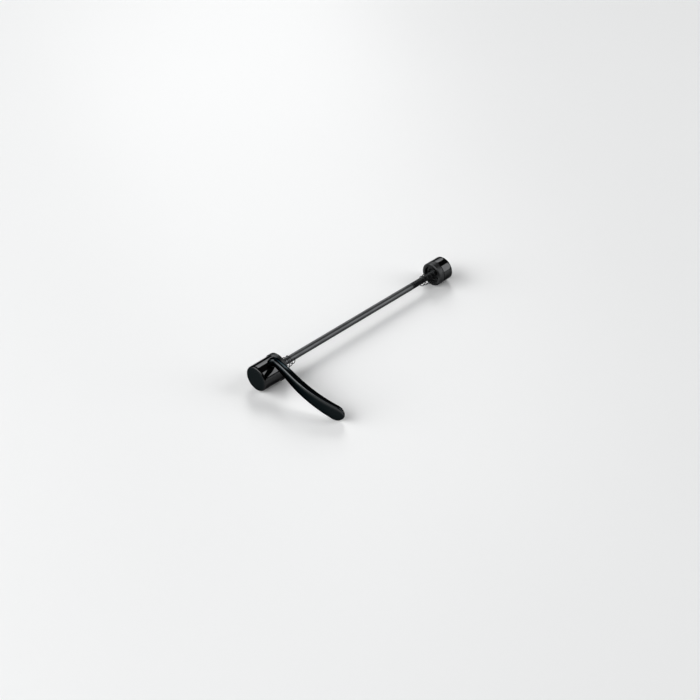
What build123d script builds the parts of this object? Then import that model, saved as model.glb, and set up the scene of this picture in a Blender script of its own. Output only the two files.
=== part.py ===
from build123d import *
from math import asin, atan2, cos, degrees, pi, radians, sin, sqrt, tan, tanh
import os

os.makedirs("parts", exist_ok=True)

# Skewer: +X runs along the rod towards the nut, origin at the lever-side clamp face, millimetres
clamp_gap = 157.4
lever_roll = 18.0
cut_over = 1.0

# Rod
rod_dia = 5.0
thread_dia = 4.9
thread_len = 32.0
runout_dia = 4.5
runout_len = 1.3
rod_in_nut = 10.6
rod_tip_chamfer = 0.6

# Cam
cam_throw = 0.8
cam_dia = 5.0
cam_gap = 0.06
eye_thick = 4.8
eye_wall = 1.6

# Housing
housing_dia = 19.2
pivot_depth = 9.1
end_len = 12.9
housing_round = 1.4
slot_play = 0.2
run_gap = 0.05

# Clamp rings
ring_dia = 20.4
ring_width = 3.9
ring_bore = 14.0
ring_chamfer = 0.5
seat_drop = 1.4
serrations = 44
serration_depth = 0.4
serration_width = 0.7
serration_rim = 0.5

# Rod guide
guide_flange_dia = 13.4
guide_flange = 0.7
guide_gap = 0.08
fit_gap = 0.02

# Lever
shank_dia = 6.7
shank_step = 0.2
root_lift = 0.2
root_width = 5.6
root_thick = 5.4
bend_radius = 4.0
bend_turn = 68
arm_rise = 4.1
arm_reach = 66.1
arm_bulge = 5.3
arm_hook = 5.6
blade_width = 14.1
blade_mid_width = 10.1
blade_thick = 3.1
blade_mid_thick = 4.9
round_power = 2
root_power = 2.4
blade_power = 5.0
blade_middle = 0.5
nose_len = 6.7
nose_power = 1.85
tip_blunt = 0.002
section_points = 24
bend_steps = 4
arm_steps = 15
root_grade = -1.2
tip_grade = 2.2

# Cam spindle and its retainer
tenon_dia = 3.8
tenon_len = 6.0
spigot_dia = 3.2
clip_dia = 6.0
clip_thick = 0.6
clip_mouth = 2.2
clip_groove_dia = 2.4
washer_dia = 6.4
washer_thick = 0.5
pocket_dia = 7.2
pocket_depth = 3.0
spigot_end = 0.8

# Springs
spring_wire = 0.55
spring_turns = 4.25
spring_big_dia = 10.0
spring_small_dia = 6.7
spring_tilt = 4.0
spring_lean = 45
lever_spring_len = 13.3
lever_spring_drop = 0.5
nut_spring_len = 13.9
nut_spring_drop = 0.4
nut_spring_gap = 0.1

# Nut
nut_dia = 18.0
nut_len = 14.2
nut_ring_width = 5.0
nut_ring_bore = 13.4
nut_seat_drop = 1.6
nut_end_chamfer = 0.9
bush_dia = 8.4
bush_len = 7.6
bush_front = 3.2
lock_len = 1.4
thread_gap = 0.06
nut_hole_dia = 5.8

# Derived positions
pivot_x = -pivot_depth
housing_len = pivot_depth + end_len
lean = radians(lever_roll)
pivot = Plane((pivot_x, 0, 0), x_dir=(0, -cos(lean), -sin(lean)), z_dir=(0, -sin(lean), cos(lean)))
slot_half = eye_thick / 2 + slot_play
cam_bottom = run_gap - slot_half
lag_turn = asin(2 / pi)
eye_play = cam_throw * (2 * lag_turn / pi - 1 + cos(lag_turn))
eye_hole_x = cam_dia / 2 + eye_play + cam_gap
eye_hole_q = cam_dia / 2 + cam_throw + cam_gap
eye_half_x = eye_hole_x + eye_wall
eye_half_q = eye_hole_q + eye_wall
slot_half_q = eye_half_q + slot_play
slot_end = pivot_x - cam_throw - eye_half_x - slot_play
seat_x = -seat_drop
guide_plug = seat_x - (pivot_x + cam_throw + eye_half_x + slot_play)
nut_seat_x = clamp_gap + nut_seat_drop
rod_end = clamp_gap + rod_in_nut
thread_start = rod_end - thread_len
bush_x = clamp_gap + bush_front
lock_x = bush_x + bush_len
pocket_floor = housing_dia / 2 - pocket_depth
clip_top = -pocket_floor - washer_thick - run_gap
clip_bottom = clip_top - clip_thick


def along_x(dia, x0, x1):
    return Pos((x0 + x1) / 2, 0, 0) * Rot(0, 90, 0) * Cylinder(dia / 2, x1 - x0)


def along_pivot(dia, p0, p1, shift=0.0):
    return pivot * Pos(0, shift, (p0 + p1) / 2) * Cylinder(dia / 2, p1 - p0)


def rim(solid, x, dia):
    circles = solid.edges().filter_by(GeomType.CIRCLE)
    return [e for e in circles if abs(e.center().X - x) < 1e-4 and abs(e.radius - dia / 2) < 1e-4]


# Clamp ring whose radial serrations stop short of both rims
def clamp_ring(outer, bore, face_x, back_x):
    ring = along_x(outer, min(face_x, back_x), max(face_x, back_x))
    ring = chamfer(rim(ring, face_x, outer) + rim(ring, back_x, outer), ring_chamfer)
    ring -= along_x(bore, min(face_x, back_x) - cut_over, max(face_x, back_x) + cut_over)
    into = 1 if back_x > face_x else -1
    inner = bore / 2 + serration_rim
    length = outer / 2 - ring_chamfer - serration_rim - inner
    half = serration_width / 2
    outline = Polyline((face_x, -half), (face_x, half), (face_x + into * serration_depth, 0), close=True)
    groove = Pos(0, 0, inner) * extrude(make_face(outline), length)
    return ring - [Rot(360 * i / serrations, 0, 0) * groove for i in range(serrations)]


# Conical spring from a seat towards a narrower free end that hangs against the rod
def cone_spring(seat, free, drop):
    way = 1 if free > seat else -1
    tilt = radians(spring_tilt)
    height = (abs(free - seat) - spring_wire + spring_big_dia / 2 * sin(tilt)) / cos(tilt)
    taper = degrees(atan2((spring_big_dia - spring_small_dia) / 2, height))
    coil = Helix(height / spring_turns, height, spring_big_dia / 2, cone_angle=-taper)
    wire = sweep(Plane(coil @ 0, z_dir=coil % 0) * Circle(spring_wire / 2), path=coil)
    hung = Rot(0, 90 - spring_tilt, 0) * Pos(0, 0, -height) * wire
    hung = Pos(free - way * spring_wire / 2, 0, -drop) * Rot(0, 0, 90 - way * 90) * hung
    return Rot(-spring_lean, 0, 0) * hung


# Housing with the rod slot, the cross bore for the lever and the clip pocket
housing = along_x(housing_dia, -housing_len, -ring_width)
housing = fillet(rim(housing, -housing_len, housing_dia), housing_round)
housing += along_x(ring_bore, -ring_width, seat_x)
slot = Box(2 * slot_half_q, seat_x - slot_end, 2 * slot_half)
housing -= pivot * Pos(0, (slot_end + seat_x) / 2 - pivot_x, 0) * slot
housing -= along_pivot(shank_dia + 2 * run_gap, 0, housing_dia)
housing -= along_pivot(spigot_dia + 2 * run_gap, -housing_dia, 0)
housing -= along_pivot(pocket_dia, -housing_dia, -pocket_floor)

lever_ring = clamp_ring(ring_dia, ring_bore, 0, -ring_width)

# Guide that fills the slot's mouth and carries the spring
plug = Box(2 * (slot_half_q - fit_gap), guide_plug, 2 * (slot_half - fit_gap))
guide = pivot * Pos(0, seat_x - guide_plug / 2 - pivot_x, 0) * plug
guide += along_x(guide_flange_dia, seat_x, seat_x + guide_flange)
guide -= along_x(rod_dia + 2 * guide_gap, -housing_len, housing_len)

# Rod with a flat eye around the cam
eye_plane = pivot * Pos(0, -cam_throw, 0)
eye_plate = RectangleRounded(2 * eye_half_q, 2 * eye_half_x, eye_half_x - eye_wall / 2)
eye_hole = SlotOverall(2 * eye_hole_q, 2 * eye_hole_x)
eye = eye_plane * Pos(0, 0, -eye_thick / 2) * extrude(eye_plate - eye_hole, eye_thick)
neck_x = pivot_x - cam_throw + eye_hole_x + eye_wall / 2
rod = eye + along_x(rod_dia, neck_x, thread_start - runout_len)
rod += along_x(runout_dia, thread_start - runout_len, thread_start)
rod += chamfer(rim(along_x(thread_dia, thread_start, rod_end), rod_end, thread_dia), rod_tip_chamfer)

# Lever: a round root that bends over, climbs to a level and widens into a curved blade
neck_dia = shank_dia - 2 * shank_step
neck_top = housing_dia / 2 + root_lift
bend_end = radians(bend_turn)
arm_start_q = bend_radius * (1 - cos(bend_end))
arm_start_p = neck_top + bend_radius * sin(bend_end)
arm_chord = sqrt((arm_reach - arm_start_q) ** 2 + arm_hook ** 2)
arm_mid_q = (arm_start_q + arm_reach) / 2 + arm_bulge * arm_hook / arm_chord
arm_mid_x = arm_hook / 2 - arm_bulge * (arm_reach - arm_start_q) / arm_chord
arm = ThreePointArc((arm_start_q, 0), (arm_mid_q, arm_mid_x), (arm_reach, arm_hook))
climb_share = 2 * arm_rise * tan(bend_end) / arm.length
nose = nose_len / arm.length


# Rounded section: a higher power squares it
def section(place, thick, width, power):
    points = []
    for i in range(section_points):
        c = cos(2 * pi * i / section_points)
        s = sin(2 * pi * i / section_points)
        k = (abs(c) ** power + abs(s) ** power) ** (-1 / power)
        points.append((k * c * thick / 2, k * s * width / 2))
    return place * make_face(Spline(*points, periodic=True))


def bend_section(share):
    a = share * bend_end
    foot = (bend_radius * (1 - cos(a)), 0, neck_top + bend_radius * sin(a))
    place = Plane(foot, x_dir=(0, 1, 0), z_dir=(sin(a), 0, cos(a)))
    thick = neck_dia + share * (root_thick - neck_dia)
    width = neck_dia + share * (root_width - neck_dia)
    return section(place, thick, width, round_power + share * (root_power - round_power))


def arm_section(along, thick, width, power):
    heading = arm % along
    climb = max(0, 1 - along / climb_share)
    foot = arm @ along + Vector(0, 0, arm_start_p + arm_rise * (1 - climb ** 2))
    uphill = heading + Vector(0, 0, climb / tan(bend_end))
    return section(Plane(foot, x_dir=(-heading.Y, heading.X, 0), z_dir=uphill), thick, width, power)


# Smooth curve through the size at the root, at the middle and at the end of the arm
def through(along, root, middle, end):
    from_root = root * (1 - along) * (1 - along / blade_middle)
    from_middle = middle * along * (1 - along) / (blade_middle * (1 - blade_middle))
    return from_root + from_middle + end * along * (along - blade_middle) / (1 - blade_middle)


sections = [bend_section(i / bend_steps) for i in range(bend_steps)]
for i in range(arm_steps + 1):
    grade = root_grade + (tip_grade - root_grade) * i / arm_steps
    along = (1 - tip_blunt) * (tanh(grade) - tanh(root_grade)) / (tanh(tip_grade) - tanh(root_grade))
    taper = (1 - max(0, 1 - (1 - along) / nose) ** nose_power) ** (1 / nose_power)
    thick = through(along, root_thick, blade_mid_thick, blade_thick) * sqrt(taper)
    width = through(along, root_width, blade_mid_width, blade_width) * taper
    power = root_power + (blade_power - root_power) * min(1, along / blade_middle)
    sections.append(arm_section(along, thick, width, round_power + (power - round_power) * taper))
lever = pivot * loft(sections)
lever += along_pivot(shank_dia, slot_half, neck_top)
lever -= along_pivot(tenon_dia + 2 * fit_gap, 0, slot_half + tenon_len + fit_gap)

# Spindle with the eccentric cam, the far spigot and its clip groove
spindle = along_pivot(cam_dia, cam_bottom, slot_half, -cam_throw)
spindle += along_pivot(tenon_dia, slot_half, slot_half + tenon_len)
spindle += along_pivot(spigot_dia, clip_bottom - spigot_end, cam_bottom)
groove = along_pivot(spigot_dia + cut_over, clip_bottom, clip_top)
spindle -= groove - along_pivot(clip_groove_dia, clip_bottom, clip_top)

washer = along_pivot(washer_dia, -pocket_floor - washer_thick, -pocket_floor)
washer -= along_pivot(spigot_dia + 2 * run_gap, -housing_dia, 0)

clip = along_pivot(clip_dia, clip_bottom + fit_gap, clip_top - fit_gap)
clip -= along_pivot(clip_groove_dia + 2 * fit_gap, -housing_dia, 0)
clip -= pivot * Pos(0, clip_dia / 2, (clip_bottom + clip_top) / 2) * Box(clip_mouth, clip_dia, 2 * clip_thick)

# Nut: serrated ring, gloss body, thread insert and nylon lock ring
nut_back = clamp_gap + nut_ring_width
nut_ring = clamp_ring(nut_dia, nut_ring_bore, clamp_gap, nut_back)
nut_end = clamp_gap + nut_len
nut = along_x(nut_dia, nut_back, nut_end)
nut = chamfer(rim(nut, nut_end, nut_dia), nut_end_chamfer)
nut += along_x(nut_ring_bore, nut_seat_x, nut_back)
nut -= along_x(bush_dia + 2 * fit_gap, clamp_gap, lock_x + lock_len)
nut -= along_x(nut_hole_dia, clamp_gap, nut_end + cut_over)

bush = along_x(bush_dia, bush_x, lock_x) - along_x(thread_dia + 2 * thread_gap, clamp_gap, nut_end)
lock_ring = along_x(bush_dia, lock_x, lock_x + lock_len)
lock_ring -= along_x(thread_dia + 2 * thread_gap, clamp_gap, nut_end)

spring_seat = seat_x + guide_flange
nut_spring_x = nut_seat_x - nut_spring_gap
nodes = {
    "cam_housing": housing,
    "lever_clamp_ring": lever_ring,
    "rod_guide": guide,
    "lever": lever,
    "cam_spindle": spindle,
    "spindle_washer": washer,
    "spindle_clip": clip,
    "skewer_rod": rod,
    "lever_spring": cone_spring(spring_seat, spring_seat + lever_spring_len, lever_spring_drop),
    "nut_spring": cone_spring(nut_spring_x, nut_spring_x - nut_spring_len, nut_spring_drop),
    "nut_clamp_ring": nut_ring,
    "nut_body": nut,
    "nut_thread_bush": bush,
    "nut_lock_ring": lock_ring,
}
for name, solid in nodes.items():
    export_step(solid, f"parts/{name}.step")
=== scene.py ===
# %% [markdown]
# A quick release skewer holds a bicycle wheel in its frame without tools. A lever turns a cam inside
# a round housing, the cam pulls a thin rod, and a nut on the far end of the rod closes the clamp.
# The solids come from a CAD model, which is loaded here as a fixed frame. This lesson remakes the
# pieces that are seen with finer meshes, cuts their teeth and threads with Geometry Nodes, and gives
# each one a finish made of shader nodes. The pieces' sizes are in millimetres, and MM makes them metres.

# %% Load the frame
import bmesh
import bpy
from functools import partial
from math import asin, cos, pi, radians, sin, sqrt, tan
from mathutils import Matrix, Vector


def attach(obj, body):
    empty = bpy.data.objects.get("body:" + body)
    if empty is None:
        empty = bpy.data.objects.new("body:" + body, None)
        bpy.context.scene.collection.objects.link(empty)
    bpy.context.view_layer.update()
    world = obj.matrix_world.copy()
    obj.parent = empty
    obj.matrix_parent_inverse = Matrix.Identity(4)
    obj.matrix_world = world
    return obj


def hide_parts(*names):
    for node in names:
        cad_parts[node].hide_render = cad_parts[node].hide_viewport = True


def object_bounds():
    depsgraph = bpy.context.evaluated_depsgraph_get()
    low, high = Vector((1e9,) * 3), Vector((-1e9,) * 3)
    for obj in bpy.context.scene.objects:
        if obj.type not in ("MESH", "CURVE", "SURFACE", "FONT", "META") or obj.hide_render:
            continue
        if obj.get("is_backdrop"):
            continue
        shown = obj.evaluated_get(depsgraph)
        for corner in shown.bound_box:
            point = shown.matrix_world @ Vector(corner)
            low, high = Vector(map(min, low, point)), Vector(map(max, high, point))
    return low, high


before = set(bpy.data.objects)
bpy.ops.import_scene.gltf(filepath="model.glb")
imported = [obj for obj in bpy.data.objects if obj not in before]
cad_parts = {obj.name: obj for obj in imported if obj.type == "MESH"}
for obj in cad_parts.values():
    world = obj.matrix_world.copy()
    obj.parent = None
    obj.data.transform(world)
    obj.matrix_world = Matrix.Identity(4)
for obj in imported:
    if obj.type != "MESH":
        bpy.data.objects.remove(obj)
cad_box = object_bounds()
MM = 0.001

# %% [markdown]
# Every node tree below is built with the same few helpers. A node gets its settings by name, and each
# of its inputs is either a plain value or the socket of an earlier node. A tree could be drawn by hand
# in the node editor, but written down it reads from top to bottom, in the order in which the values
# flow, and it comes out the same on every run.

# %% Node helpers
def add_node(tree, kind, inputs=None, **settings):
    made = tree.nodes.new(kind)
    for key, value in settings.items():
        setattr(made, key, value)
    for key, value in (inputs or {}).items():
        if isinstance(value, bpy.types.NodeSocket):
            tree.links.new(value, made.inputs[key])
        else:
            made.inputs[key].default_value = value
    return made


def calc(tree, operation, *values):
    return add_node(tree, "ShaderNodeMath", dict(enumerate(values)), operation=operation).outputs[0]


def stretch(tree, value, low, high, new_low=0.0, new_high=1.0):
    limits = {0: value, 1: low, 2: high, 3: new_low, 4: new_high}
    return add_node(tree, "ShaderNodeMapRange", limits).outputs[0]


def new_tree(name, kind, inputs, outputs):
    tree = bpy.data.node_groups.new(name, kind)
    for label, socket in inputs:
        tree.interface.new_socket(label, in_out="INPUT", socket_type="NodeSocket" + socket)
    for label, socket in outputs:
        tree.interface.new_socket(label, in_out="OUTPUT", socket_type="NodeSocket" + socket)
    return tree, tree.nodes.new("NodeGroupInput").outputs, tree.nodes.new("NodeGroupOutput").inputs


print("node helpers ready")

# %% [markdown]
# Anodised and blasted metal is never quite even: the surface has a fine grain, and slow changes of
# tone over a few millimetres. Several finishes here need both, so they are one node group. It reads
# the piece's own coordinates in metres, and its scales are waves per metre.

# %% Grain shared by the finishes
grain_group, given, result = new_tree(
    "surface grain",
    "ShaderNodeTree",
    [("Vector", "Vector"), ("Fine Scale", "Float"), ("Broad Scale", "Float")],
    [("Fine", "Float"), ("Broad", "Float")],
)
fine = {"Vector": given["Vector"], "Scale": given["Fine Scale"], "Detail": 3.0, "Roughness": 0.6}
broad = {"Vector": given["Vector"], "Scale": given["Broad Scale"], "Detail": 2.0, "Roughness": 0.5}
grain_group.links.new(add_node(grain_group, "ShaderNodeTexNoise", fine).outputs[0], result["Fine"])
grain_group.links.new(add_node(grain_group, "ShaderNodeTexNoise", broad).outputs[0], result["Broad"])
print("node group:", grain_group.name)

# %% [markdown]
# A skewer is opened and closed by hand and slid through an axle, so its dark skin carries hairline
# scratches. A noise that is squeezed along one direction gives long thin streaks, and a second noise
# keeps them in patches. The result is a mask from 0 to 1.

# %% Hairline scratches shared by the finishes
scratch_group, given, result = new_tree(
    "hairline scratches",
    "ShaderNodeTree",
    [("Vector", "Vector"), ("Stretch", "Vector"), ("Patch Scale", "Float"), ("Amount", "Float")],
    [("Mask", "Float")],
)
squeezed = add_node(
    scratch_group, "ShaderNodeVectorMath", {0: given["Vector"], 1: given["Stretch"]}, operation="MULTIPLY"
)
streak = add_node(
    scratch_group, "ShaderNodeTexNoise", {"Vector": squeezed.outputs[0], "Scale": 1.0, "Detail": 2.0}
)
patch = add_node(
    scratch_group, "ShaderNodeTexNoise", {"Vector": given["Vector"], "Scale": given["Patch Scale"]}
)
line = stretch(scratch_group, streak.outputs[0], 0.66, 0.74)
where = stretch(scratch_group, patch.outputs[0], 0.45, 0.65)
both = calc(scratch_group, "MULTIPLY", line, where)
scratch_group.links.new(calc(scratch_group, "MULTIPLY", both, given["Amount"]), result["Mask"])
print("node group:", scratch_group.name)

# %% [markdown]
# Turned pieces show the path of the cutting tool as very fine rings around their axis. All the turned
# pieces of the skewer share the X axis, so a noise of one number is enough: the position along X plus
# the distance from the axis. On a cylinder it gives rings, and on an end face it gives circles.

# %% Turning rings shared by the finishes
turning_group, given, result = new_tree(
    "turning rings",
    "ShaderNodeTree",
    [("Vector", "Vector"), ("Scale", "Float")],
    [("Rings", "Float")],
)
parts = add_node(turning_group, "ShaderNodeSeparateXYZ", {0: given["Vector"]}).outputs
across = add_node(turning_group, "ShaderNodeCombineXYZ", {1: parts[1], 2: parts[2]})
radius = add_node(turning_group, "ShaderNodeVectorMath", {0: across.outputs[0]}, operation="LENGTH")
path = calc(turning_group, "ADD", parts[0], radius.outputs["Value"])
rings = add_node(
    turning_group,
    "ShaderNodeTexNoise",
    {"W": path, "Scale": given["Scale"], "Detail": 4.0},
    noise_dimensions="1D",
)
turning_group.links.new(rings.outputs[0], result["Rings"])
print("node group:", turning_group.name)

# %% [markdown]
# A finish is one Principled shader. What is the same all over, such as the metal share or the index
# of refraction, is set on the shader itself, and the groups above only move the colour, the roughness
# and the height of the bump. The bump's distance is the real depth of the grain.

# %% Finish helpers
def new_finish(name, **settings):
    material = bpy.data.materials.new(name)
    material.use_nodes = True
    shader = material.node_tree.nodes["Principled BSDF"]
    for key, value in settings.items():
        shader.inputs[key.replace("_", " ")].default_value = value
    return material, material.node_tree, shader


def new_metal(name, edge):
    return new_finish(name, Metallic=1.0, Specular_Tint=(edge, edge, edge, 1.0))


def own_place(tree):
    return add_node(tree, "ShaderNodeTexCoord").outputs["Object"]


def use_group(tree, group, **inputs):
    named = {key.replace("_", " "): value for key, value in inputs.items()}
    return add_node(tree, "ShaderNodeGroup", named, node_tree=group).outputs


def vary(tree, shader, socket, mask, low, high):
    tree.links.new(stretch(tree, mask, 0.0, 1.0, low, high), shader.inputs[socket])


def blend(tree, mask, low, high):
    return add_node(tree, "ShaderNodeMix", {0: mask, 6: low, 7: high}, data_type="RGBA").outputs[2]


def tint(tree, shader, mask, low, high):
    tree.links.new(blend(tree, mask, (*low, 1.0), (*high, 1.0)), shader.inputs["Base Color"])


def bump(tree, shader, height, depth):
    made = add_node(tree, "ShaderNodeBump", {"Height": height, "Distance": depth * MM, "Strength": 1.0})
    tree.links.new(made.outputs[0], shader.inputs["Normal"])


print("finish helpers ready")

# %% [markdown]
# The housing and the nut body are polished before they are anodised black, so they reflect like
# lacquer. A clear coat over black paint could show that too, but it would run to white at a flat angle.
# So the finish is a very dark metal: its colour is the small share of light that it mirrors, and the
# tint of its specular part holds the mirror back at flat angles.

# %% Gloss black anodised finish
gloss_black, tree, shader = new_metal("gloss_black", 0.4)
place = own_place(tree)
grain = use_group(tree, grain_group, Vector=place, Fine_Scale=5000.0, Broad_Scale=180.0)
marks = use_group(
    tree, scratch_group, Vector=place, Stretch=(250.0, 6000.0, 6000.0), Patch_Scale=120.0, Amount=0.5
)
tint(tree, shader, grain["Broad"], (0.0265, 0.0268, 0.0274), (0.034, 0.0344, 0.0352))
uneven = calc(tree, "ADD", calc(tree, "MULTIPLY", grain["Broad"], 0.6), marks["Mask"])
vary(tree, shader, "Roughness", uneven, 0.04, 0.13)
bump(tree, shader, grain["Fine"], 0.0004)
print("finish:", gloss_black.name)

# %% [markdown]
# The lever and the end of the housing are blasted before they are anodised. The skin is the same, but
# its surface is a field of tiny dents, so reflections spread into a soft sheen with a cold cast. The
# end was turned after that, so it mirrors a little more at a flat angle than the lever does. The
# lever's long edges get a painted highlight: a paler colour where an attribute of the mesh, made with
# the lever, says so.

# %% Satin black anodised finishes
# Name of the mesh attribute that places the painted highlight on the lever's edges.
PAINTED_HIGHLIGHT = "painted edge highlight"


def satin_finish(name, edge):
    material, tree, shader = new_metal(name, edge)
    place = own_place(tree)
    grain = use_group(tree, grain_group, Vector=place, Fine_Scale=9000.0, Broad_Scale=140.0)
    marks = use_group(
        tree, scratch_group, Vector=place, Stretch=(5000.0, 300.0, 5000.0), Patch_Scale=90.0, Amount=0.6
    )
    skin = blend(tree, grain["Broad"], (0.015, 0.0182, 0.0196, 1.0), (0.02, 0.0236, 0.025, 1.0))
    # Painted highlight: the lever's long edges get a paler colour where the attribute says so.
    edge_highlight = add_node(tree, "ShaderNodeAttribute", attribute_name=PAINTED_HIGHLIGHT).outputs["Fac"]
    highlighted_skin = blend(tree, edge_highlight, skin, (0.062, 0.064, 0.066, 1.0))
    tree.links.new(highlighted_skin, shader.inputs["Base Color"])
    uneven = calc(tree, "SUBTRACT", grain["Broad"], calc(tree, "MULTIPLY", marks["Mask"], 0.5))
    vary(tree, shader, "Roughness", uneven, 0.13, 0.2)
    bump(tree, shader, grain["Fine"], 0.0012)
    print("finish:", material.name)
    return material


satin_black = satin_finish("satin_black", 0.0)
end_black = satin_finish("end_black", 0.4)

# %% [markdown]
# The clamp rings bite into the frame, so they are hard, matt and toothed. The teeth are real geometry,
# made further down, and the finish only adds what is finer than they are: a rough dark metal with the
# grain of the blasting and the rings of the lathe.

# %% Matt black ring finish
ring_black, tree, shader = new_metal("ring_black", 0.5)
place = own_place(tree)
grain = use_group(tree, grain_group, Vector=place, Fine_Scale=12000.0, Broad_Scale=300.0)
turned = use_group(tree, turning_group, Vector=place, Scale=9000.0)
tint(tree, shader, grain["Broad"], (0.03, 0.0307, 0.0315), (0.05, 0.0512, 0.0525))
vary(tree, shader, "Roughness", turned["Rings"], 0.3, 0.45)
bump(tree, shader, grain["Fine"], 0.002)
print("finish:", ring_black.name)

# %% [markdown]
# The rod is drawn steel with a dark phosphate skin. Drawing leaves lines along the bar, so its streaks
# are long in X and narrow around it. The thread is rolled afterwards and blackened, so the skin gets
# darker where it starts. The rod stays one piece with one finish, and a ramp along X does the change.

# %% Drawn rod finish
THREAD_START = 136.0
rod_steel, tree, shader = new_metal("rod_steel", 0.45)
place = own_place(tree)
drawn = add_node(
    tree, "ShaderNodeVectorMath", {0: place, 1: (60.0, 4500.0, 4500.0)}, operation="MULTIPLY"
).outputs[0]
lines = add_node(tree, "ShaderNodeTexNoise", {"Vector": drawn, "Scale": 1.0, "Detail": 4.0}).outputs[0]
grain = use_group(tree, grain_group, Vector=place, Fine_Scale=9000.0, Broad_Scale=120.0)
tone = calc(tree, "ADD", calc(tree, "MULTIPLY", lines, 0.6), calc(tree, "MULTIPLY", grain["Broad"], 0.4))
along = add_node(tree, "ShaderNodeSeparateXYZ", {0: place}).outputs[0]
plain = stretch(tree, along, (THREAD_START - 1.5) * MM, (THREAD_START + 0.5) * MM, 1.0, 0.15)
tint(tree, shader, calc(tree, "MULTIPLY", tone, plain), (0.012, 0.0125, 0.013), (0.11, 0.114, 0.117))
vary(tree, shader, "Roughness", lines, 0.3, 0.44)
bump(tree, shader, lines, 0.0015)
print("finish:", rod_steel.name, "is darker from x", THREAD_START, "mm")

# %% [markdown]
# The springs are hard steel wire, coiled cold and left dark with oil. The other small parts are hidden
# for the most part: turned steel, blackened steel, a natural nylon ring and a moulded guide. They all
# show fine rings and a slow change of tone, so one function makes the five finishes.

# %% Finishes of the small parts
def turned_finish(name, low, high, rough, scale, metal=1.0, edge=1.0):
    material, tree, shader = new_finish(name, Metallic=metal, Specular_Tint=(edge, edge, edge, 1.0))
    place = own_place(tree)
    turned = use_group(tree, turning_group, Vector=place, Scale=scale)
    grain = use_group(tree, grain_group, Vector=place, Fine_Scale=8000.0, Broad_Scale=400.0)
    tint(tree, shader, grain["Broad"], low, high)
    vary(tree, shader, "Roughness", turned["Rings"], *rough)
    bump(tree, shader, turned["Rings"], 0.002)
    print("finish:", material.name)
    return material


spring_steel = turned_finish(
    "spring_steel", (0.016, 0.0167, 0.0174), (0.036, 0.0374, 0.0388), (0.3, 0.46), 4000.0, edge=0.2
)
bright_steel = turned_finish(
    "bright_steel", (0.38, 0.385, 0.39), (0.52, 0.525, 0.53), (0.2, 0.36), 9000.0
)
dark_steel = turned_finish(
    "dark_steel", (0.02, 0.021, 0.022), (0.045, 0.046, 0.048), (0.3, 0.5), 9000.0
)
nylon = turned_finish(
    "nylon", (0.6, 0.59, 0.54), (0.7, 0.69, 0.64), (0.4, 0.55), 2000.0, metal=0.0
)
black_plastic = turned_finish(
    "black_plastic", (0.009, 0.009, 0.01), (0.014, 0.014, 0.015), (0.4, 0.56), 1500.0, metal=0.0
)

# %% [markdown]
# Most pieces are turned, so one helper turns a profile about the X axis. The Screw modifier could do
# it too, but here the corners are eased on the way. A profile is a list of points (x, radius, ease),
# and a corner with an ease above 0 becomes a small arc, because a real edge is never a knife and its
# thin highlight is what makes metal look real. A closed profile makes a ring, and one that starts and
# ends on the axis makes a solid body.

# %% Turning helpers
ARC_STEPS = 4
ON_AXIS = 1e-6


def eased(profile, closed):
    points = []
    count = len(profile)
    for i, (x, r, ease) in enumerate(profile):
        here = Vector((x, r))
        if ease == 0 or (not closed and i in (0, count - 1)):
            points.append(here)
            continue
        before = Vector(profile[i - 1][:2]) - here
        after = Vector(profile[(i + 1) % count][:2]) - here
        start = here + before.normalized() * ease
        end = here + after.normalized() * ease
        for k in range(ARC_STEPS + 1):
            t = k / ARC_STEPS
            points.append(start * (1 - t) ** 2 + here * 2 * t * (1 - t) + end * t ** 2)
    return points


def angles(steps):
    return [2 * pi * k / steps for k in range(steps)]


def bridge(shape, near, far):
    steps = len(near)
    for k in range(steps):
        n = (k + 1) % steps
        corners = [near[k], near[n], far[n], far[k]]
        shape.faces.new(list(dict.fromkeys(corners)))


def turn_into(shape, points, steps, closed):
    rings = []
    for x, r in points:
        if r < ON_AXIS:
            rings.append([shape.verts.new((x * MM, 0, 0))] * steps)
            continue
        rings.append([shape.verts.new((x * MM, r * MM * cos(a), r * MM * sin(a))) for a in angles(steps)])
    pairs = list(zip(rings, rings[1:]))
    if closed:
        pairs.append((rings[-1], rings[0]))
    for near, far in pairs:
        bridge(shape, near, far)


print("turning helpers ready, with", ARC_STEPS, "steps on each eased corner")

# %% [markdown]
# A shape becomes an object in one place, so that every piece gets outward faces, smooth shading and
# sharp edges at the same angle. Modifiers are used to cut and to grow pieces, but they aren't left on
# them: the result is kept as a plain mesh, which exports as it looks. At the end each piece is told
# which body it moves with, and the CAD solid that it stands for is hidden.

# %% Piece helpers
SHARP_EDGE = radians(40.0)


def smooth_skin(mesh):
    mesh.shade_smooth()
    mesh.set_sharp_from_angle(angle=SHARP_EDGE)


def as_object(name, shape, material):
    bmesh.ops.recalc_face_normals(shape, faces=shape.faces[:])
    mesh = bpy.data.meshes.new(name)
    shape.to_mesh(mesh)
    shape.free()
    mesh.materials.append(material)
    smooth_skin(mesh)
    made = bpy.data.objects.new(name, mesh)
    bpy.context.scene.collection.objects.link(made)
    return made


def make_plain(piece):
    graph = bpy.context.evaluated_depsgraph_get()
    mesh = bpy.data.meshes.new_from_object(piece.evaluated_get(graph))
    piece.modifiers.clear()
    piece.data = mesh
    smooth_skin(mesh)


def turned_piece(name, profile, steps, material, closed=True):
    shape = bmesh.new()
    turn_into(shape, eased(profile, closed), steps, closed)
    return as_object(name, shape, material)


def settle(piece, body, slot, *nodes):
    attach(piece, body)
    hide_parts(*nodes)
    print(piece.name, "rides on", body, "with", len(piece.data.polygons), "faces")


print("piece helpers ready")

# %% [markdown]
# Pieces around the lever's pivot lean with it: the pivot stands 18 degrees from upright, because the
# skewer lies on the lever's tip. A point is given there by how far it is along the lever (q), along
# the rod from the pivot (x) and up the pivot (p).

# %% Pivot frame
LEAN = radians(18.0)
PIVOT_X = -9.1
lever_way = Vector((0, -cos(LEAN), -sin(LEAN)))
rod_way = Vector((1, 0, 0))
pivot_way = Vector((0, -sin(LEAN), cos(LEAN)))


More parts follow.
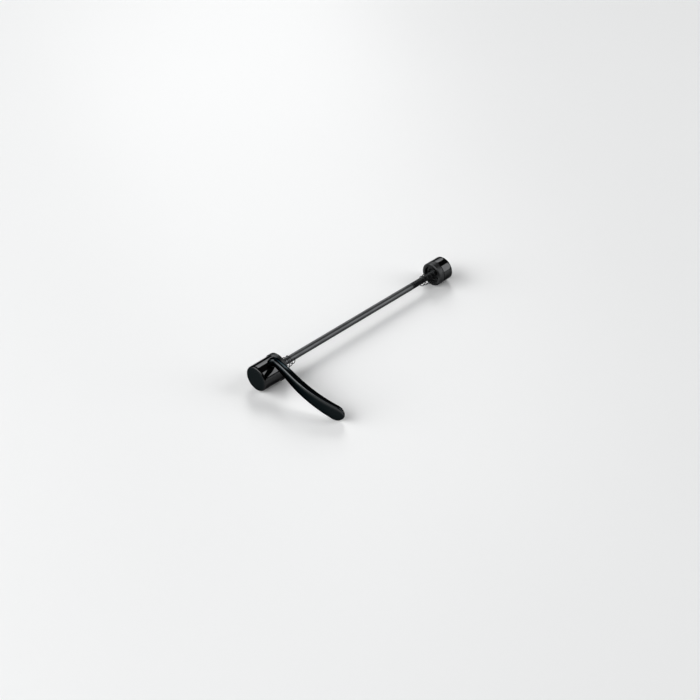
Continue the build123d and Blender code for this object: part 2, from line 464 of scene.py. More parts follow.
def at_pivot(q, x, p):
    return (Vector((PIVOT_X, 0, 0)) + lever_way * q + rod_way * x + pivot_way * p) * MM


print("pivot at x", PIVOT_X, "mm, leaning", round(LEAN * 180 / pi, 1), "degrees")

# %% [markdown]
# A workshop would mill the slot and drill the bores. Here a box and a round bar stand for the tools,
# and Boolean modifiers take them away from the piece. The exact solver is slower than the fast one,
# but it leaves clean edges where a bore meets a round side.

# %% Cutting helpers
def pivot_box(half_q, x_low, x_high, half_p):
    shape = bmesh.new()
    corners = {}
    for i in (-1, 1):
        for j, x in ((-1, x_low), (1, x_high)):
            for k in (-1, 1):
                corners[i, j, k] = shape.verts.new(at_pivot(i * half_q, x - PIVOT_X, k * half_p))
    for axis in range(3):
        for side in (-1, 1):
            ring = []
            for a, b in ((-1, -1), (1, -1), (1, 1), (-1, 1)):
                key = [a, b]
                key.insert(axis, side)
                ring.append(corners[tuple(key)])
            shape.faces.new(ring)
    return shape


def pivot_bar(radius, p_low, p_high, steps):
    shape = bmesh.new()
    ends = []
    for p in (p_low, p_high):
        around = [at_pivot(radius * cos(a), radius * sin(a), p) for a in angles(steps)]
        ends.append([shape.verts.new(point) for point in around])
        shape.faces.new(ends[-1])
    bridge(shape, *ends)
    return shape


def carve(piece, cutters):
    tools = [as_object("cutter", shape, piece.data.materials[0]) for shape in cutters]
    for tool in tools:
        cut = piece.modifiers.new("cut", "BOOLEAN")
        cut.operation = "DIFFERENCE"
        cut.solver = "EXACT"
        cut.object = tool
    make_plain(piece)
    for tool in tools:
        bpy.data.objects.remove(tool)


print("cutting helpers ready")

# %% [markdown]
# The housing is a short round bar. It has a rounded closed end, a narrower boss that takes the clamp
# ring, a slot for the eye of the rod, a cross bore for the lever and a pocket for the clip under it.
# It is turned first and carved after, in the order a workshop would use. The side is divided along its
# length so that the faces next to the cross bore stay small and the polish stays even.

# %% Cam housing
ROUND_STEPS = 192
HOUSING_END = -22.0
HOUSING_RADIUS = 9.6
END_ROUND = 1.4
SIDE_ROW = 0.6
SHOULDER_X = -3.95
BOSS_RADIUS = 7.0
SEAT_X = -1.4
SLOT_HALF_Q = 5.16
SLOT_HALF = 2.6
SLOT_END = -14.43
LEVER_BORE = 3.4
SPIGOT_BORE = 1.65
POCKET_RADIUS = 3.6
POCKET_FLOOR = -6.6
OUTSIDE = 12
FACES_OUT = -0.97
end_rows = [(HOUSING_END, r, 0) for r in (0, 4.0, 7.0)]
side_rows = [(HOUSING_END + 2.0 + SIDE_ROW * i, HOUSING_RADIUS, 0) for i in range(27)]
housing_profile = end_rows + [(HOUSING_END, HOUSING_RADIUS, END_ROUND)] + side_rows
housing_profile += [(SHOULDER_X, HOUSING_RADIUS, 0.15), (SHOULDER_X, BOSS_RADIUS, 0)]
housing_profile += [(SEAT_X, BOSS_RADIUS, 0.15), (SEAT_X, 0, 0)]
housing = turned_piece("housing_shell", housing_profile, ROUND_STEPS, gloss_black, closed=False)
slot = pivot_box(SLOT_HALF_Q, SLOT_END, SEAT_X + 1, SLOT_HALF)
lever_bore = pivot_bar(LEVER_BORE, 0, OUTSIDE, 96)
spigot_bore = pivot_bar(SPIGOT_BORE, -OUTSIDE, 0, 48)
clip_pocket = pivot_bar(POCKET_RADIUS, -OUTSIDE, POCKET_FLOOR, 64)
carve(housing, [slot, lever_bore, spigot_bore, clip_pocket])
housing.data.materials.append(end_black)
for face in housing.data.polygons:
    if face.normal.x < FACES_OUT and face.center.x < (HOUSING_END + 0.1) * MM:
        face.material_index = 1
settle(housing, "housing", "gloss_black", "cam_housing")

# %% [markdown]
# The lever is forged: a round shank rises from the housing, bends over, climbs to a level and widens
# into a curved blade. It could be sculpted, but then its sizes would be lost. Here it is a row of
# cross-sections on a path. The bend stops before it lies flat, and the arm climbs on with the same
# slope until it is level, so no kink shows. Seen from above, the arm follows an arc.

# %% Lever path
NECK_TOP = 9.8
BEND = 4.0
BEND_END = radians(68.0)
RISE = 4.1
REACH = 66.1
HOOK = 5.6
BULGE = 5.3
start_q = BEND * (1 - cos(BEND_END))
start_p = NECK_TOP + BEND * sin(BEND_END)
chord = Vector((REACH - start_q, HOOK))
arc_radius = (chord.length ** 2 / 4 + BULGE ** 2) / (2 * BULGE)
arc_half = asin(chord.length / 2 / arc_radius)
arc_length = 2 * arc_half * arc_radius
chord_way = chord.normalized()
chord_side = Vector((-chord_way.y, chord_way.x))
arc_centre = Vector((start_q, 0)) + chord / 2 + chord_side * (arc_radius - BULGE)
climb_share = 2 * RISE * tan(BEND_END) / arc_length


def arm_at(along):
    turn = arc_half * (2 * along - 1)
    flat = arc_centre + (chord_way * sin(turn) - chord_side * cos(turn)) * arc_radius
    ahead = chord_way * cos(turn) + chord_side * sin(turn)
    climb = max(0, 1 - along / climb_share)
    foot = Vector((flat.x, flat.y, start_p + RISE * (1 - climb ** 2)))
    heading = Vector((ahead.x, ahead.y, climb / tan(BEND_END))).normalized()
    thick_way = Vector((-ahead.y, ahead.x, 0))
    return foot, thick_way, heading.cross(thick_way)


print("lever arm:", round(arc_length, 1), "mm long on a radius of", round(arc_radius, 1), "mm")

# %% [markdown]
# The cross-section goes from a circle to a rounded box. A superellipse does that with one number, its
# power: 2 is a circle, and the corners get tighter as it grows. Thickness and width are given at the
# root, the middle and the end of the arm, with a smooth curve through the three. The nose closes in the
# curve of another superellipse.

# %% Lever sections
AROUND = 72
CIRCLE = 2
ROOT_POWER = 2.4
BLADE_POWER = 5.0
NOSE_POWER = 1.85
SQUARE_FROM = 0.5
NECK_DIA = 6.3
THICK = (5.4, 4.9, 3.1)
BROAD = (5.6, 10.1, 14.1)
NOSE_LENGTH = 6.7
nose = NOSE_LENGTH / arc_length


def through(along, root, middle, end):
    near = root * (1 - along) * (1 - 2 * along)
    return near + middle * 4 * along * (1 - along) + end * along * (2 * along - 1)


def outline(foot, thick_way, wide_way, thick, wide, power):
    loop = []
    for a in angles(AROUND):
        reach = (abs(cos(a)) ** power + abs(sin(a)) ** power) ** (-1 / power)
        out = thick_way * (reach * cos(a) * thick / 2)
        loop.append(foot + out + wide_way * (reach * sin(a) * wide / 2))
    return loop


def shank_loop(p, dia):
    return outline(Vector((0, 0, p)), Vector((0, 1, 0)), Vector((-1, 0, 0)), dia, dia, CIRCLE)


def bend_loop(share):
    a = share * BEND_END
    foot = Vector((BEND * (1 - cos(a)), 0, NECK_TOP + BEND * sin(a)))
    thick = NECK_DIA + share * (THICK[0] - NECK_DIA)
    wide = NECK_DIA + share * (BROAD[0] - NECK_DIA)
    power = CIRCLE + (ROOT_POWER - CIRCLE) * share
    return outline(foot, Vector((0, 1, 0)), Vector((-cos(a), 0, sin(a))), thick, wide, power)


def arm_loop(along, taper):
    thick = through(along, *THICK) * sqrt(taper)
    wide = through(along, *BROAD) * taper
    share = min(1, along / SQUARE_FROM)
    power = ROOT_POWER + (BLADE_POWER - ROOT_POWER) * share * share * (3 - 2 * share)
    return outline(*arm_at(along), thick, wide, CIRCLE + (power - CIRCLE) * taper)


def nose_loop(turn):
    return arm_loop(1 - nose * (1 - sin(turn) ** (2 / NOSE_POWER)), cos(turn) ** (2 / NOSE_POWER))


print("lever sections have", AROUND, "points each")

# %% [markdown]
# The sections are joined into one skin, from the foot of the shank to a single point at the tip. Each
# point also keeps a number, the attribute that the satin finish reads: how strong the painted highlight
# is there. It is highest on the four long edges, which lie at 45 degrees in every section, and fades
# towards the round root.

# %% Lever
SHANK = ((2.6, 6.7), (6.0, 6.7), (9.7, 6.7), (9.77, 6.62))
BEND_ROWS = 14
ARM_ROWS = 60
NOSE_ROWS = 24
ROOT_HIGHLIGHT = 0.5
HIGHLIGHT_ROWS = 40
HIGHLIGHT_SPREAD = 12
loops = [shank_loop(p, dia) for p, dia in SHANK]
loops += [bend_loop(i / BEND_ROWS) for i in range(BEND_ROWS)]
loops += [arm_loop((1 - nose) * i / ARM_ROWS, 1.0) for i in range(ARM_ROWS)]
loops += [nose_loop(i * pi / (2 * NOSE_ROWS)) for i in range(NOSE_ROWS)]
# Strength of the painted highlight along the lever, row by row, weakest at the root.
highlight_amounts = [0.0] * len(SHANK)
highlight_amounts += [ROOT_HIGHLIGHT * i / BEND_ROWS for i in range(BEND_ROWS)]
highlight_amounts += [min(1, ROOT_HIGHLIGHT + i / HIGHLIGHT_ROWS) for i in range(ARM_ROWS)]
highlight_amounts += [1.0] * NOSE_ROWS
shape = bmesh.new()
edge = shape.verts.layers.float.new(PAINTED_HIGHLIGHT)
rows = []
for loop, amount in zip(loops, highlight_amounts):
    row = [shape.verts.new(at_pivot(*point)) for point in loop]
    # The painted highlight is strongest at each corner of the section and fades within a few points.
    for k, vertex in enumerate(row):
        from_corner = abs(360 * k / AROUND % 90 - 45)
        vertex[edge] = amount * max(0, 1 - from_corner / HIGHLIGHT_SPREAD)
    rows.append(row)
tip = shape.verts.new(at_pivot(*arm_at(1.0)[0]))
shape.faces.new(rows[0])
for near, far in zip(rows, rows[1:]):
    bridge(shape, near, far)
bridge(shape, rows[-1], [tip] * AROUND)
lever = as_object("lever_arm", shape, satin_black)
settle(lever, "lever", "lever_black", "lever")

# %% [markdown]
# Teeth, a knurl, a thread and a spring each follow a rule, and a tree of Geometry Nodes states such a
# rule once for every point. The teeth and the thread share their start, which measures where a point
# is about the X axis. All the trees share their end: instances are made real and the finish is set.
# What a tree makes is kept as a plain mesh. A modifier's inputs are set by the identifier of the
# socket, not by its name.

# %% Geometry Nodes helpers
def about_axis(tree):
    place = add_node(tree, "GeometryNodeInputPosition").outputs[0]
    x, y, z = add_node(tree, "ShaderNodeSeparateXYZ", {0: place}).outputs
    around = calc(tree, "DIVIDE", calc(tree, "ARCTAN2", z, y), 2 * pi)
    squares = calc(tree, "ADD", calc(tree, "MULTIPLY", y, y), calc(tree, "MULTIPLY", z, z))
    return x, y, z, around, calc(tree, "SQRT", squares)


def close_tree(tree, geometry, material, result):
    whole = add_node(tree, "GeometryNodeRealizeInstances", {0: geometry}).outputs[0]
    dressed = add_node(tree, "GeometryNodeSetMaterial", {"Geometry": whole, "Material": material})
    tree.links.new(dressed.outputs[0], result["Geometry"])
    print("node tree:", tree.name, "with", len(tree.nodes), "nodes")


def grow(piece, tree, **values):
    modifier = piece.modifiers.new(tree.name, "NODES")
    modifier.node_group = tree
    for item in tree.interface.items_tree:
        key = item.name.replace(" ", "_")
        if item.in_out == "INPUT" and key in values:
            modifier[item.identifier] = values[key]
    make_plain(piece)
    return piece


print("Geometry Nodes helpers ready")

# %% [markdown]
# Both clamp rings have radial serrations on the face that bites the frame, and a fine diamond knurl
# around the rim. They could be cut with hundreds of booleans. Here a finely divided ring is turned and
# a tree moves its points. First the serrations: a sawtooth of the angle gives the distance from the
# nearest groove, and points on the face sink by it between an inner and an outer radius. The name
# work stands for calc with the tree already given, which keeps the lines short.

# %% Tree that cuts the rings' teeth: serrations
ON_SKIN = 0.02 * MM
teeth_tree, given, result = new_tree(
    "ring teeth",
    "GeometryNodeTree",
    [
        ("Geometry", "Geometry"),
        ("Face X", "Float"),
        ("Into Ring", "Float"),
        ("Serrations", "Float"),
        ("Groove Width", "Float"),
        ("Groove Depth", "Float"),
        ("Inner Radius", "Float"),
        ("Outer Radius", "Float"),
        ("Knurls", "Float"),
        ("Knurl Pitch", "Float"),
        ("Knurl Depth", "Float"),
        ("Rim Radius", "Float"),
        ("Rim Low", "Float"),
        ("Rim High", "Float"),
        ("Material", "Material"),
    ],
    [("Geometry", "Geometry")],
)
work = partial(calc, teeth_tree)
x, y, z, around, radius = about_axis(teeth_tree)
tooth = work("WRAP", work("MULTIPLY", around, given["Serrations"]), 0.5, -0.5)
arc = work("DIVIDE", work("MULTIPLY", radius, 2 * pi), given["Serrations"])
off_centre = work("ABSOLUTE", work("MULTIPLY", tooth, arc))
half_width = work("MULTIPLY", given["Groove Width"], 0.5)
slope = work("SUBTRACT", 1.0, work("DIVIDE", off_centre, half_width))
groove = work("MULTIPLY", work("MAXIMUM", slope, 0.0), given["Groove Depth"])
on_face = work("COMPARE", x, given["Face X"], ON_SKIN)
past_inner = work("GREATER_THAN", radius, given["Inner Radius"])
before_outer = work("LESS_THAN", radius, given["Outer Radius"])
in_band = work("MULTIPLY", on_face, work("MULTIPLY", past_inner, before_outer))
sink = work("MULTIPLY", work("MULTIPLY", groove, in_band), given["Into Ring"])
print("serrations take", len(teeth_tree.nodes), "nodes")

# %% [markdown]
# Then the knurl: two crossed waves of the angle and of X, left-handed and right-handed, leave diamonds
# between their valleys. Points on the rim are pressed in towards the axis by the deeper wave, and the
# tree adds both moves together.

# %% Tree that cuts the rings' teeth: knurl
turns = work("MULTIPLY", around, given["Knurls"])
steps = work("DIVIDE", x, given["Knurl Pitch"])
left = work("PINGPONG", work("ADD", turns, steps), 0.5)
right = work("PINGPONG", work("SUBTRACT", turns, steps), 0.5)
valley = work("SUBTRACT", 1.0, work("MULTIPLY", work("MINIMUM", left, right), 4.0))
press = work("MULTIPLY", work("MAXIMUM", valley, 0.0), given["Knurl Depth"])
on_rim = work("COMPARE", radius, given["Rim Radius"], ON_SKIN)
past_low = work("GREATER_THAN", x, given["Rim Low"])
before_high = work("LESS_THAN", x, given["Rim High"])
in_strip = work("MULTIPLY", on_rim, work("MULTIPLY", past_low, before_high))
inward = work("MULTIPLY", work("DIVIDE", work("MULTIPLY", press, in_strip), radius), -1.0)
moved = add_node(
    teeth_tree,
    "ShaderNodeCombineXYZ",
    {0: sink, 1: work("MULTIPLY", y, inward), 2: work("MULTIPLY", z, inward)},
).outputs[0]
cut = add_node(teeth_tree, "GeometryNodeSetPosition", {"Geometry": given["Geometry"], "Offset": moved})
close_tree(teeth_tree, cut.outputs[0], given["Material"], result)

# %% [markdown]
# Each ring is turned with rows where the tree needs them: pairs of rows close together at the ends of
# the grooves, which stop short of both rims, and rows every eighth of a millimetre under the knurl.

# %% Ring profile
CHAMFER = 0.5
EDGE_EASE = 0.08
BORE_EASE = 0.12
ROW_GAP = 0.02
GROOVE_FROM_BORE = 0.5
GROOVE_FROM_RIM = 1.0
KNURL_FROM = 0.7
KNURL_ROW = 0.12


def ring_profile(face_x, back_x, into, rim_radius, bore_radius):
    inner = bore_radius + GROOVE_FROM_BORE
    outer = rim_radius - GROOVE_FROM_RIM
    knurl_width = abs(back_x - face_x) - 2 * KNURL_FROM
    rows = int(knurl_width / KNURL_ROW)
    chamfer_radius = rim_radius - CHAMFER
    face_rows = [inner - ROW_GAP, inner + ROW_GAP]
    face_rows += [inner + (outer - inner) * i / 4 for i in (1, 2, 3)]
    face_rows += [outer - ROW_GAP, outer + ROW_GAP]
    rim_rows = [face_x + into * (KNURL_FROM + knurl_width * i / rows) for i in range(rows + 1)]
    profile = [(face_x, bore_radius, BORE_EASE)]
    profile += [(face_x, r, 0) for r in face_rows]
    profile += [(face_x, chamfer_radius, EDGE_EASE), (face_x + into * CHAMFER, rim_radius, EDGE_EASE)]
    profile += [(x, rim_radius, 0) for x in rim_rows]
    profile += [(back_x - into * CHAMFER, rim_radius, EDGE_EASE), (back_x, chamfer_radius, EDGE_EASE)]
    return profile + [(back_x, bore_radius, BORE_EASE)]


print("ring profile ready, with a row every", KNURL_ROW, "mm under the knurl")

# %% [markdown]
# The larger ring sits on the boss of the housing and the smaller one on the nut's. They face each
# other, so the tree is told which way leads into the ring. The steps around are a multiple of both
# the serrations and the knurls, so that all grooves and all diamonds come out alike.

# %% Clamp rings
SERRATIONS = 44
KNURLS = 66
RING_STEPS = SERRATIONS * 12
KNURL_INSIDE = 0.75
LEVER_RING_RADIUS = 10.2
NUT_RADIUS = 9.0
NUT_BOSS_RADIUS = 6.7


def clamp_ring(name, face_x, back_x, rim_radius, bore_radius):
    into = 1.0 if back_x > face_x else -1.0
    profile = ring_profile(face_x, back_x, into, rim_radius, bore_radius)
    ring = turned_piece(name, profile, RING_STEPS, ring_black)
    return grow(
        ring,
        teeth_tree,
        Face_X=face_x * MM,
        Into_Ring=into,
        Serrations=float(SERRATIONS),
        Groove_Width=0.7 * MM,
        Groove_Depth=0.4 * MM,
        Inner_Radius=(bore_radius + GROOVE_FROM_BORE) * MM,
        Outer_Radius=(rim_radius - GROOVE_FROM_RIM) * MM,
        Knurls=float(KNURLS),
        Knurl_Pitch=0.85 * MM,
        Knurl_Depth=0.07 * MM,
        Rim_Radius=rim_radius * MM,
        Rim_Low=(min(face_x, back_x) + KNURL_INSIDE) * MM,
        Rim_High=(max(face_x, back_x) - KNURL_INSIDE) * MM,
        Material=ring_black,
    )


lever_ring = clamp_ring("lever_ring", 0.0, -3.9, LEVER_RING_RADIUS, BOSS_RADIUS)
settle(lever_ring, "housing", "matt_black", "lever_clamp_ring")
nut_ring = clamp_ring("nut_ring", 157.4, 162.4, NUT_RADIUS, NUT_BOSS_RADIUS)
settle(nut_ring, "nut", "matt_black", "nut_clamp_ring")

# %% [markdown]
# The nut body is turned from bar and polished. Its boss carries the clamp ring, a deep bore takes the
# steel thread and the nylon lock ring, and a small hole in the end lets a long rod through. One closed
# profile holds all of that, so nothing has to be cut afterwards.

# %% Nut body
NUT_BORE = 4.22
NUT_HOLE = 2.9
NUT_FRONT = 159.0
NUT_SHOULDER = 162.45
NUT_CHAMFER_X = 170.7
NUT_END = 171.6
BORE_END = 169.6
nut_profile = [
    (NUT_FRONT, NUT_BORE, 0.1),
    (NUT_FRONT, NUT_BOSS_RADIUS, 0.1),
    (NUT_SHOULDER, NUT_BOSS_RADIUS, 0),
    (NUT_SHOULDER, NUT_RADIUS, 0.12),
    (164.0, NUT_RADIUS, 0),
    (166.0, NUT_RADIUS, 0),
    (168.0, NUT_RADIUS, 0),
    (NUT_CHAMFER_X, NUT_RADIUS, 0.25),
    (NUT_END, 8.1, 0.25),
    (NUT_END, NUT_HOLE, 0.3),
    (BORE_END, NUT_HOLE, 0),
    (BORE_END, NUT_BORE, 0),
]
nut_body = turned_piece("nut_shell", nut_profile, ROUND_STEPS, gloss_black)
settle(nut_body, "nut", "gloss_black", "nut_body")

# %% [markdown]
# The rod is one bar with a flat eye at the lever's end and a rolled thread at the other. The thread is
# a groove that winds around the bar, one turn in 0.8 mm. The tree below sinks the points of a finely
# divided bar by a wave of X and the angle, and fades the groove in at its start, as a rolled thread
# does. A screw modifier could wind a profile instead, but it would leave a seam at both ends.

# %% Tree that winds the thread
THREAD_RADIUS = 2.45
THREAD_CORE = 1.9
RUN_IN = 0.8
FLANK = (0.12, 0.88)
SKIN_FROM = 1.8
LEAST_RADIUS = 0.1
thread_tree, given, result = new_tree(
    "rolled thread",
    "GeometryNodeTree",
    [
        ("Geometry", "Geometry"),
        ("Start X", "Float"),
        ("End X", "Float"),
        ("Pitch", "Float"),
        ("Depth", "Float"),
        ("Material", "Material"),
    ],
    [("Geometry", "Geometry")],
)
work = partial(calc, thread_tree)
x, y, z, around, distance = about_axis(thread_tree)
radius = work("MAXIMUM", distance, LEAST_RADIUS * MM)
wound = work("SUBTRACT", work("DIVIDE", x, given["Pitch"]), around)
valley = work("MULTIPLY", work("PINGPONG", wound, 0.5), 2.0)
flank = stretch(thread_tree, valley, *FLANK)
full_from = work("ADD", given["Start X"], RUN_IN * MM)
from_start = stretch(thread_tree, x, given["Start X"], full_from)
before_end = work("LESS_THAN", x, given["End X"])
on_skin = work("GREATER_THAN", radius, SKIN_FROM * MM)
here = work("MULTIPLY", from_start, work("MULTIPLY", before_end, on_skin))
depth = work("MULTIPLY", work("MULTIPLY", flank, here), given["Depth"])
root = work("SUBTRACT", THREAD_RADIUS * MM, depth)
lowered = work("MINIMUM", radius, work("MAXIMUM", root, THREAD_CORE * MM))
kept = work("MULTIPLY", radius, work("SUBTRACT", 1.0, here))
after = work("ADD", work("MULTIPLY", lowered, here), kept)
scale = work("DIVIDE", after, radius)
moved = add_node(
    thread_tree,
    "ShaderNodeCombineXYZ",
    {0: x, 1: work("MULTIPLY", y, scale), 2: work("MULTIPLY", z, scale)},
).outputs[0]
cut = add_node(thread_tree, "GeometryNodeSetPosition", {"Geometry": given["Geometry"], "Position": moved})
close_tree(thread_tree, cut.outputs[0], given["Material"], result)

# %% [markdown]
# The bar is turned with long rows on its plain length and fine rows on the thread. A run-out groove
# parts the two, and the end tapers so that the nut finds the thread.

# %% Rod bar
ROD_RADIUS = 2.5
ROD_START = -6.37
ROD_END = 168.0
TAPER = 0.6
TAPER_ROWS = ((0.45, 2.3), (0.3, 2.15), (0.15, 2.0))
GROOVE_X = 134.7
GROOVE_RADIUS = 2.25
THREAD_ROW = 0.06
threaded = ROD_END - TAPER - THREAD_START
fine_rows = int(threaded / THREAD_ROW)
rod_profile = [(ROD_START, 0, 0)] + [(x, ROD_RADIUS, 0) for x in (ROD_START, 0, 40, 80, 120)]
rod_profile += [(GROOVE_X, ROD_RADIUS, 0.12), (GROOVE_X + 0.2, GROOVE_RADIUS, 0.08)]
rod_profile += [(THREAD_START - 0.1, GROOVE_RADIUS, 0)]
rod_profile += [(THREAD_START + threaded * i / fine_rows, THREAD_RADIUS, 0) for i in range(fine_rows + 1)]
rod_profile += [(ROD_END - before, r, 0) for before, r in TAPER_ROWS]
rod_profile += [(ROD_END, 1.85, 0.08), (ROD_END, 0, 0)]
shape = bmesh.new()
turn_into(shape, eased(rod_profile, False), 48, False)
print("rod bar has", fine_rows, "rows on its thread")

# %% [markdown]
# The eye is a flat plate with a slotted hole for the cam, hidden in the housing but there when the
# lever is opened. Its two outlines are boxes with round corners, on both sides of the plate, and four
# strips of faces close it. It joins the bar's mesh, and the tree then winds the thread on both as one.

# %% Rod
EYE_X = -0.8
EYE_STEPS = 96
EYE_HALF = 2.4
EYE_OUTSIDE = (4.96, 4.328, 3.528)
EYE_HOLE = (3.36, 2.728, 2.728)


def eye_outline(half_q, half_x, corner):
    points = []
    for a in angles(EYE_STEPS):
        c, s = cos(a), sin(a)
        centre_q = (half_q - corner) * (1 if c > 0 else -1)
        centre_x = EYE_X + (half_x - corner) * (1 if s > 0 else -1)
        points.append((centre_q + corner * c, centre_x + corner * s))
    return points


layers = []
for p in (-EYE_HALF, EYE_HALF):
    for sizes in (EYE_OUTSIDE, EYE_HOLE):
        layers.append([shape.verts.new(at_pivot(q, x, p)) for q, x in eye_outline(*sizes)])
low_out, low_in, high_out, high_in = layers
for near, far in ((low_out, low_in), (low_in, high_in), (high_in, high_out), (high_out, low_out)):
    bridge(shape, near, far)
rod = as_object("rod_bar", shape, rod_steel)
grow(
    rod,
    thread_tree,
    Start_X=THREAD_START * MM,
    End_X=(ROD_END + 1) * MM,
    Pitch=0.8 * MM,
    Depth=0.45 * MM,
    Material=rod_steel,
)
settle(rod, "rod", "rod_steel", "skewer_rod")

# %% [markdown]
# Two cone springs centre the wheel between the frame ends. Each is a wire wound from a wide coil on
# its seat to a narrow coil on the rod. Geometry Nodes has a Spiral curve whose two radii differ, and
# Curve to Mesh sweeps a small circle along it and closes the ends.

# %% Tree that winds a cone spring
spring_tree, given, result = new_tree(
    "cone spring",
    "GeometryNodeTree",
    [
        ("Geometry", "Geometry"),
        ("Turns", "Float"),
        ("Wide Radius", "Float"),
        ("Narrow Radius", "Float"),
        ("Height", "Float"),
        ("Wire Radius", "Float"),
        ("Material", "Material"),
    ],
    [("Geometry", "Geometry")],
)
spiral = add_node(
    spring_tree,
    "GeometryNodeCurveSpiral",
    {
        "Resolution": 64,
        "Rotations": given["Turns"],
        "Start Radius": given["Wide Radius"],
        "End Radius": given["Narrow Radius"],
        "Height": given["Height"],
    },
)
section = add_node(
    spring_tree, "GeometryNodeCurvePrimitiveCircle", {"Resolution": 20, "Radius": given["Wire Radius"]}
)
wire = add_node(
    spring_tree,
    "GeometryNodeCurveToMesh",
    {"Curve": spiral.outputs[0], "Profile Curve": section.outputs[0], "Fill Caps": True},
)
smooth = add_node(spring_tree, "GeometryNodeSetShadeSmooth", {0: wire.outputs[0]})
close_tree(spring_tree, smooth.outputs[0], given["Material"], result)

# %% [markdown]
# A spring is wound upright at the origin and then laid along X. Loose on the rod it hangs to one side,
# so it is dropped until its narrow coil nearly meets the rod, tilted a little because the wide coil
# has more play, and leaned over towards the viewer as in the photograph.

# %% Springs
WIRE = 0.55
WIDE = 5.0
NARROW = 3.35
FLANGE_FACE = -0.7
TILT = radians(4.0)
SIDEWAYS = Matrix.Rotation(radians(-45.0), 4, "X")


def cone_spring(name, seat, free, drop):
    way = 1 if free > seat else -1
    height = (abs(free - seat) - WIRE + WIDE * sin(TILT)) / cos(TILT)
    spring = bpy.data.objects.new(name, bpy.data.meshes.new(name))
    bpy.context.scene.collection.objects.link(spring)
    grow(
        spring,
        spring_tree,
        Turns=4.25,
        Wide_Radius=WIDE * MM,
        Narrow_Radius=NARROW * MM,
        Height=height * MM,
        Wire_Radius=WIRE / 2 * MM,
        Material=spring_steel,
    )
    raised = Matrix.Rotation(pi / 2 - TILT, 4, "Y") @ Matrix.Translation((0, 0, -height * MM))
    facing = Matrix.Rotation(radians(90 - way * 90), 4, "Z")
    hung = Matrix.Translation(((free - way * WIRE / 2) * MM, 0, -drop * MM))
    spring.data.transform(SIDEWAYS @ hung @ facing @ raised)
    return spring


lever_spring = cone_spring("lever_side_spring", seat=FLANGE_FACE, free=12.6, drop=0.5)
settle(lever_spring, "housing", "spring_steel", "lever_spring")
nut_spring = cone_spring("nut_side_spring", seat=158.9, free=145.0, drop=0.4)
settle(nut_spring, "nut_carrier", "spring_steel", "nut_spring")

# %% [markdown]
# The guide closes the mouth of the slot, keeps the rod in the middle and gives the spring a flat seat.
# It is a moulding: a block that fills the slot and a thin round flange, with the rod's hole through
# both. The block is a box with the hole carved, and the flange is turned onto the same mesh.

# %% Rod guide
GUIDE_HALF_Q = 5.14
GUIDE_HALF = 2.58
GUIDE_BORE = 2.58
GUIDE_BACK = -3.77
FLANGE_RADIUS = 6.7
flange = [(SEAT_X, GUIDE_BORE, 0), (FLANGE_FACE, GUIDE_BORE, 0.15)]
flange += [(FLANGE_FACE, FLANGE_RADIUS, 0.2), (SEAT_X, FLANGE_RADIUS, 0)]
solid = pivot_box(GUIDE_HALF_Q, GUIDE_BACK, SEAT_X, GUIDE_HALF)
block = as_object("guide_block", solid, black_plastic)
bore = bmesh.new()
bore_profile = [(-6, 0), (-6, GUIDE_BORE), (2, GUIDE_BORE), (2, 0)]
turn_into(bore, bore_profile, 64, False)
carve(block, [bore])
shape = bmesh.new()
shape.from_mesh(block.data)
turn_into(shape, eased(flange, True), 128, True)
bpy.data.objects.remove(block)
guide = as_object("guide_moulding", shape, black_plastic)
settle(guide, "housing", "black_plastic", "rod_guide")

# %% [markdown]
# The cam spindle, its washer and clip, the steel thread and the nylon ring keep their CAD meshes: they
# are small, mostly hidden and already the right shape, and only need their finishes.

# %% Finishes on the CAD pieces that stay
for node, material in (
    ("cam_spindle", bright_steel),
    ("spindle_washer", bright_steel),
    ("spindle_clip", spring_steel),
    ("nut_thread_bush", dark_steel),
    ("nut_lock_ring", nylon),
):
    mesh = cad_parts[node].data
    mesh.materials.clear()
    mesh.materials.append(material)
    print(node, "has the finish", material.name)

# %% [markdown]
# The skewer lies on a pale board with a faint sheen. It rests on the lever's ring, the nut and the
# lever's tip. The two round pieces touch the board where their side faces it, so the three points are
# found in a few rounds: a plane through them, the points nearest to it, and again. The board and the
# lamps after it are large, so their sizes are in metres.

# %% Floor
FLOOR_HALF = 4.0
FLOOR_CENTRE = 0.08
REST_ROUNDS = 6
floor_white, tree, shader = new_finish("floor_white", IOR=1.15)
place = own_place(tree)
grain = use_group(tree, grain_group, Vector=place, Fine_Scale=900.0, Broad_Scale=3.0)
tint(tree, shader, grain["Broad"], (0.86, 0.866, 0.866), (0.89, 0.896, 0.896))
vary(tree, shader, "Roughness", grain["Fine"], 0.26, 0.3)
normal = Vector((0, 0, 1))
for _ in range(REST_ROUNDS):
    ring_rest = Vector((-CHAMFER, -LEVER_RING_RADIUS * normal.y, -LEVER_RING_RADIUS * normal.z)) * MM
    nut_rest = Vector((NUT_CHAMFER_X, -NUT_RADIUS * normal.y, -NUT_RADIUS * normal.z)) * MM
    tip_rest = min((vertex.co for vertex in lever.data.vertices), key=normal.dot)
    along = (nut_rest - ring_rest).normalized()
    normal = along.cross(ring_rest - tip_rest).normalized()
across = normal.cross(along)
centre = ring_rest + along * FLOOR_CENTRE
shape = bmesh.new()
sides = ((-1, -1), (1, -1), (1, 1), (-1, 1))
corners = [centre + along * i * FLOOR_HALF + across * j * FLOOR_HALF for i, j in sides]
shape.faces.new([shape.verts.new(corner) for corner in corners])
floor = as_object("floor", shape, floor_white)
floor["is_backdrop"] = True
print("floor normal", [round(v, 4) for v in normal])

# %% [markdown]
# Black gloss shows only what it mirrors, so the lamps are four plain softboxes that stand where the
# reflections ask for them. One behind and one in front, both high up, draw the bands on the housing and
# the nut. A large one and a smaller one at the left draw the bright edge of the lever. Between them it
# stays dark. Radiance is how bright a softbox looks, so its power follows from its size.

# %% Lights
LAMP_DISTANCE = 2.5


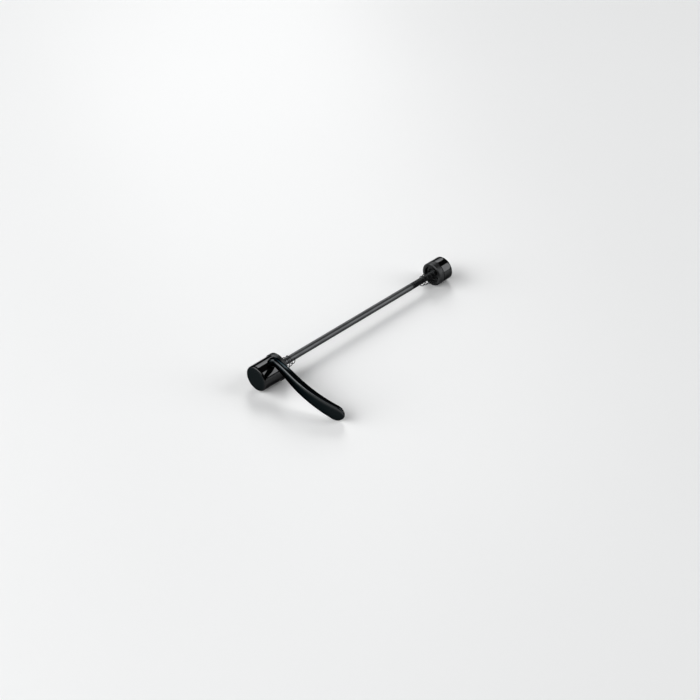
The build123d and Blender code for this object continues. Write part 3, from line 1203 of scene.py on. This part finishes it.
def softbox(name, direction, up, width, height, radiance):
    back = Vector(direction).normalized()
    side = Vector(up).cross(back).normalized()
    top = back.cross(side)
    lamp = bpy.data.lights.new(name, "AREA")
    lamp.shape = "RECTANGLE"
    lamp.size = width
    lamp.size_y = height
    lamp.energy = radiance * pi * width * height
    made = bpy.data.objects.new(name, lamp)
    turned = Matrix((side, top, back)).transposed().to_4x4()
    made.matrix_world = Matrix.Translation(back * LAMP_DISTANCE) @ turned
    bpy.context.scene.collection.objects.link(made)
    print(name, "gives", round(lamp.energy, 1), "watts")


def around_rod(angle):
    a = radians(angle)
    return (0.6, 0.8 * cos(a), 0.8 * sin(a)), (0, -sin(a), cos(a))


softbox("back_softbox", *around_rod(40.0), width=0.65, height=1.4, radiance=6.6)
softbox("front_softbox", *around_rod(143.0), width=0.9, height=2.1, radiance=4.6)
softbox("key_softbox", (-0.66, 0.5, 0.44), (0, 0, 1), width=2.6, height=2.1, radiance=4.2)
softbox("left_softbox", (-0.78, -0.14, 0.6), (0, 0, 1), width=1.2, height=1.2, radiance=3.6)
world = bpy.data.worlds.new("studio")
world.use_nodes = True
world.node_tree.nodes["Background"].inputs["Color"].default_value = (0.06, 0.06, 0.062, 1.0)
bpy.context.scene.world = world
print("world is a dim grey")

# %% [markdown]
# The camera stands where the photograph was taken from, about 1.3 metres away with a long lens and
# looking down at the lever's end. Its tiny roll comes from matching the rod and the lever together.

# %% Camera
STAND = Vector((-681.5205, -723.3884, 787.3085)) * MM
camera = bpy.data.cameras.new("photo_camera")
camera.lens = 93.24
camera.sensor_width = 36.0
azimuth = radians(-46.15286)
height = radians(37.87718)
roll = radians(1.32698)
back = Vector((sin(azimuth) * cos(height), -cos(azimuth) * cos(height), sin(height)))
level = Vector((cos(azimuth), sin(azimuth), 0))
up = back.cross(level)
right = level * cos(roll) + up * sin(roll)
top = up * cos(roll) - level * sin(roll)
viewer = bpy.data.objects.new("photo_camera", camera)
viewer.matrix_world = Matrix.Translation(STAND) @ Matrix((right, top, back)).transposed().to_4x4()
bpy.context.scene.collection.objects.link(viewer)
bpy.context.scene.camera = viewer
bpy.context.scene.view_settings.view_transform = "Standard"
print("camera at", [round(v, 3) for v in viewer.matrix_world.translation])

# %% [markdown]
# The box of the CAD model and the box of the finished pieces are printed side by side.

# %% Sizes and finish
looks_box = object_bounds()
for label, box in (("CAD box", cad_box), ("looks box", looks_box)):
    print(label, [[round(c / MM, 2) for c in corner] for corner in box], "mm")
